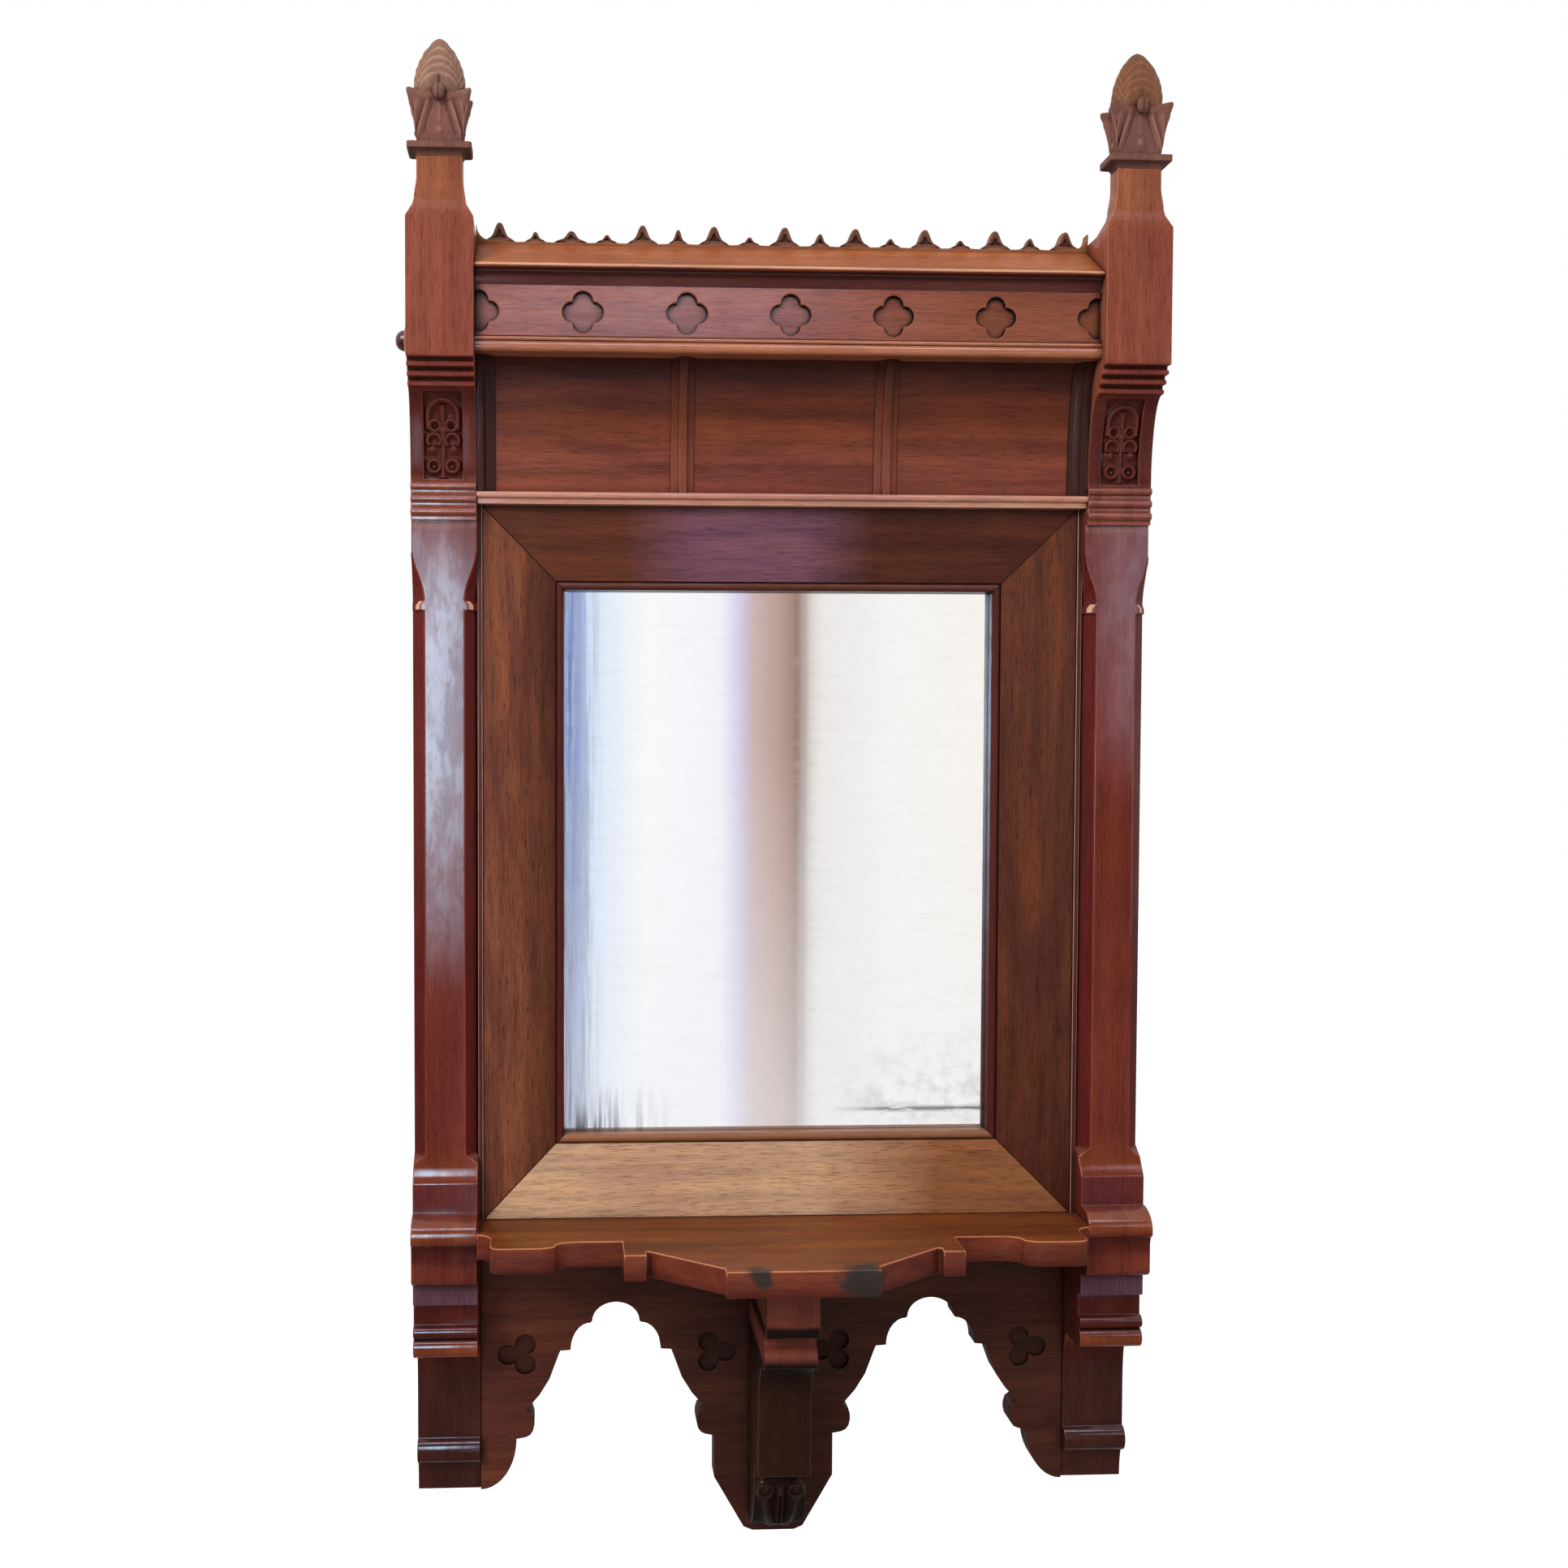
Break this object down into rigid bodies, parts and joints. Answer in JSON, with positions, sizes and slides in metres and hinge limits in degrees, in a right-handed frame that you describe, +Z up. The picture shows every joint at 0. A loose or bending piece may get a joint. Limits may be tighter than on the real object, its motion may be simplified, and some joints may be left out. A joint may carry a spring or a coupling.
{
  "type": "gothic wall mirror",
  "caption": "Wall mirror in a splayed wooden frame between moulded pillars with carved finials, under a coved and spiked head, with a shaped shelf and an arched apron below.",
  "frame": {"origin": "on the wall plane, at the back face of the backing board, behind the middle of the mirror", "axes": "+X to the right as seen from the front, +Y into the wall, +Z up; the front faces -Y"},
  "size_m": [0.644, 0.17, 1.249],
  "materials": {
    "mahogany": "red-brown mahogany, satin polish",
    "mahogany_dark": "dark red-brown mahogany, satin polish",
    "mahogany_faded": "sun-bleached mahogany, worn polish",
    "pine": "planed pine, unpolished",
    "beech": "turned beech, unpolished",
    "mirror": "old silvered glass",
    "brass": "dull brass",
    "steel": "dull steel"
  },
  "bodies": {
    "root": {"pillar_left": "mahogany", "pillar_right": "mahogany", "finial_left": "mahogany", "finial_right": "mahogany", "finial_dowels": "beech", "side_boss_left": "mahogany", "side_boss_right": "mahogany", "crest": "mahogany", "cornice": "mahogany", "top_board": "mahogany", "bed_mould": "mahogany", "frieze": "mahogany", "frieze_rail": "mahogany", "corner_blocks": "pine", "cove_panel": "mahogany_dark", "cove_rib_left": "mahogany_dark", "cove_rib_right": "mahogany_dark", "end_rib_left": "mahogany_dark", "end_rib_right": "mahogany_dark", "cove_bead": "mahogany", "edge_strip_left": "mahogany_dark", "edge_strip_right": "mahogany_dark", "splay_top": "mahogany", "splay_bottom": "mahogany_faded", "splay_left": "mahogany", "splay_right": "mahogany", "sight_bead_top": "mahogany", "sight_bead_bottom": "mahogany", "sight_bead_left": "mahogany", "sight_bead_right": "mahogany", "mirror_glass": "mirror", "glazing_blocks": "pine", "backing_board": "pine", "backing_brads": "steel", "back_stile_left": "pine", "back_stile_right": "pine", "back_rail_top": "pine", "back_rail_bottom": "pine", "upper_back": "pine", "hanging_rail": "pine", "hanging_plate_left": "brass", "hanging_plate_right": "brass", "plate_screws": "brass", "frame_screws": "steel", "shelf": "mahogany", "apron": "mahogany_dark", "centre_bracket": "mahogany_dark", "bracket_screws": "steel", "frame_dowels": "beech"}
  },
  "joints": []
}
